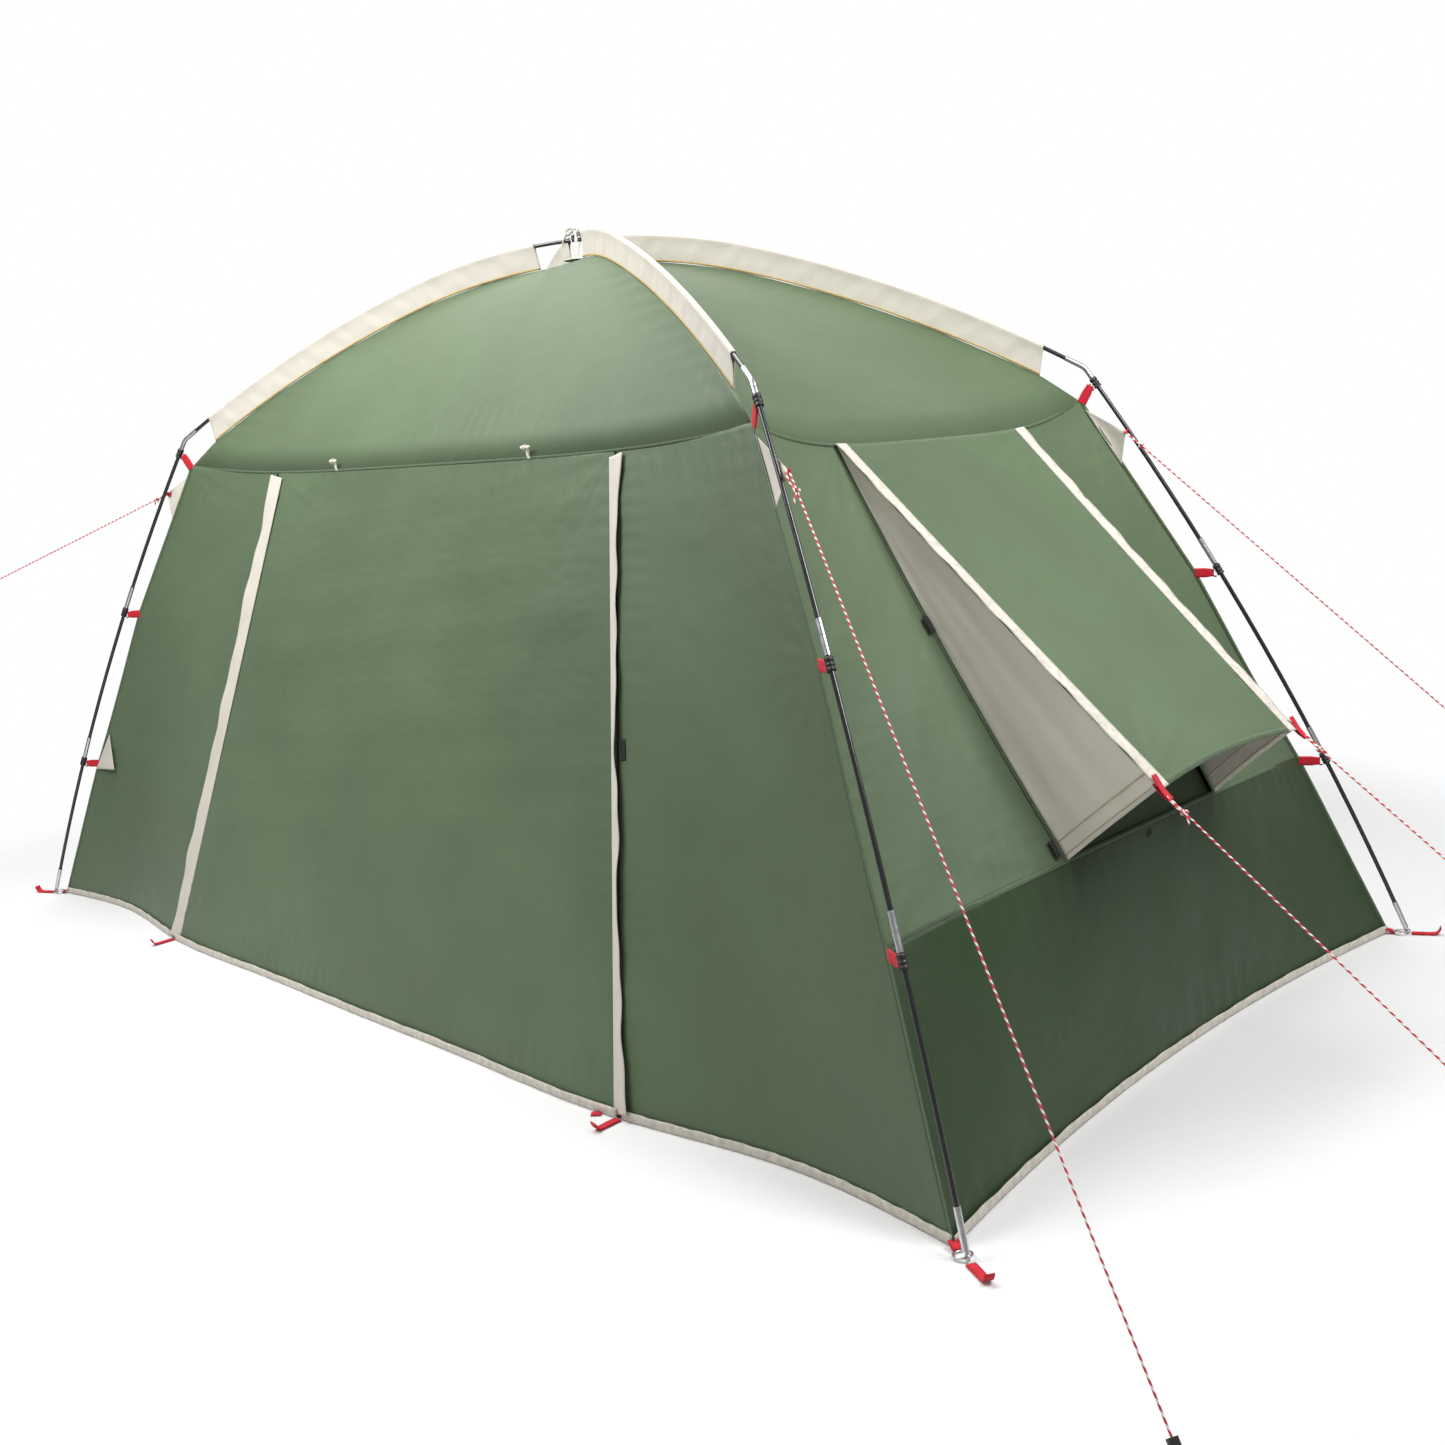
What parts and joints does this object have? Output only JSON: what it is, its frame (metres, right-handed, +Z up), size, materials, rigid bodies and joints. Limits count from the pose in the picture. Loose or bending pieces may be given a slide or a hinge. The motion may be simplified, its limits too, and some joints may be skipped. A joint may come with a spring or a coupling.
{
  "type": "tent on poles",
  "caption": "Family tent on two crossed bowed poles, with a zipped front door, a window awning held out by guy lines, and webbing loops at the hem.",
  "frame": {"origin": "middle of the footprint, on the ground the tent stands on", "axes": "+X along the long side towards the end with the awning, -Y towards the side with the door, +Z up"},
  "size_m": [4.9541, 2.6712, 2.0608],
  "materials": {
    "pole_black": "wound fibreglass tube, black, satin",
    "metal_silver": "drawn metal tube, bright",
    "wire_steel": "plated wire",
    "elastic_white": "elastic cord",
    "green_cloth": "coated plain-weave polyester, mid green, slight sheen",
    "dark_green_cloth": "coated plain-weave polyester, dark green",
    "cream_cloth": "plain-weave polyester, cream",
    "beige_cloth": "plain-weave polyester, beige",
    "window_net": "fine insect netting",
    "red_webbing": "woven webbing, red",
    "clip_black": "moulded plastic, black",
    "zip_dark": "coil zip, dark",
    "zip_metal": "painted zip slider",
    "hook_black": "hook-and-loop tape, black",
    "guy_cord": "braided cord, red and white",
    "runner_black": "moulded line runner"
  },
  "bodies": {
    "tent": {"apex_patch": "cream_cloth", "apex_tie": "cream_cloth", "arch_pole_high": "pole_black", "arch_pole_low": "pole_black", "awning_guy_front": "guy_cord", "awning_guy_rear": "guy_cord", "back_wall": "green_cloth", "elbows": "metal_silver", "foot_pins": "wire_steel", "foot_tubes": "metal_silver", "front_wall_left": "green_cloth", "front_wall_right": "green_cloth", "ground_rings": "wire_steel", "gusset_front": "beige_cloth", "gusset_rear": "beige_cloth", "guy_back_right": "guy_cord", "guy_front_left": "guy_cord", "guy_front_right": "guy_cord", "guy_stakes": "wire_steel", "guy_triangles": "cream_cloth", "hook_tabs": "hook_black", "left_wall": "green_cloth", "leg_back_left": "pole_black", "leg_back_right": "pole_black", "leg_front_left": "pole_black", "leg_front_right": "pole_black", "peg_loops": "red_webbing", "pole_clips": "clip_black", "pole_ferrules": "metal_silver", "right_wall_band": "dark_green_cloth", "right_wall_front": "green_cloth", "right_wall_rear": "green_cloth", "roof_back": "green_cloth", "roof_front": "green_cloth", "roof_left": "green_cloth", "roof_right": "green_cloth", "seam_tabs": "red_webbing", "shock_cords": "elastic_white", "sleeve_back_left": "cream_cloth", "sleeve_back_right": "cream_cloth", "sleeve_front_left": "cream_cloth", "sleeve_front_right": "cream_cloth", "toggle_loops": "cream_cloth", "wall_hems": "cream_cloth", "window_mesh": "window_net", "zip_chains": "zip_dark"},
    "door": {"door_panel": "green_cloth", "door_hem": "cream_cloth", "zip_flap_left": "cream_cloth", "zip_flap_right": "cream_cloth"},
    "awning": {"awning": "green_cloth", "awning_tabs": "red_webbing"},
    "slider_left": {"zip_slider_left": "zip_metal"},
    "slider_right": {"zip_slider_right": "zip_metal"},
    "toggle_left_body": {"toggle_left": "cream_cloth"},
    "toggle_right_body": {"toggle_right": "cream_cloth"},
    "runner_front_right_body": {"runner_front_right": "runner_black"},
    "runner_back_right_body": {"runner_back_right": "runner_black"},
    "runner_awning_front_body": {"runner_awning_front": "runner_black"},
    "runner_awning_rear_body": {"runner_awning_rear": "runner_black"}
  },
  "joints": [
    {"name": "door_lift", "type": "hinge", "parent": "tent", "child": "door", "pos_m": [0, -0.602, 1.43], "axis": [-1, 0, 0], "range_deg": [0, 75]},
    {"name": "awning_fold", "type": "hinge", "parent": "tent", "child": "awning", "pos_m": [1.25555, 0, 1.41338], "axis": [0, 1, 0], "range_deg": [0, 15], "deforming": ["gusset_front", "gusset_rear", "awning_guy_front", "awning_guy_rear"]},
    {"name": "zip_left", "type": "slide", "parent": "tent", "child": "slider_left", "axis": [0.1913, 0.2717, 0.9432], "range_m": [0, 1.42]},
    {"name": "zip_right", "type": "slide", "parent": "tent", "child": "slider_right", "axis": [-0.1913, 0.2717, 0.9432], "range_m": [0, 1.42]},
    {"name": "toggle_left_turn", "type": "hinge", "parent": "tent", "child": "toggle_left_body", "pos_m": [-0.45, -0.61127, 1.46026], "axis": [0, -0.6606, 0.7507], "range_deg": [-90, 90]},
    {"name": "toggle_right_turn", "type": "hinge", "parent": "tent", "child": "toggle_right_body", "pos_m": [0.45, -0.61127, 1.46026], "axis": [0, -0.6606, 0.7507], "range_deg": [-90, 90]},
    {"name": "runner_front_right_slide", "type": "slide", "parent": "tent", "child": "runner_front_right_body", "axis": [0.6158, -0.3218, -0.7192], "range_m": [-0.4, 0]},
    {"name": "runner_back_right_slide", "type": "slide", "parent": "tent", "child": "runner_back_right_body", "axis": [0.6375, 0.3326, -0.695], "range_m": [-0.4, 0.12]},
    {"name": "runner_awning_front_slide", "type": "slide", "parent": "tent", "child": "runner_awning_front_body", "axis": [0.7822, -0.0129, -0.6229], "range_m": [-0.4, 0.12]},
    {"name": "runner_awning_rear_slide", "type": "slide", "parent": "tent", "child": "runner_awning_rear_body", "axis": [0.7822, 0.0129, -0.6229], "range_m": [-0.4, 0.12]}
  ]
}
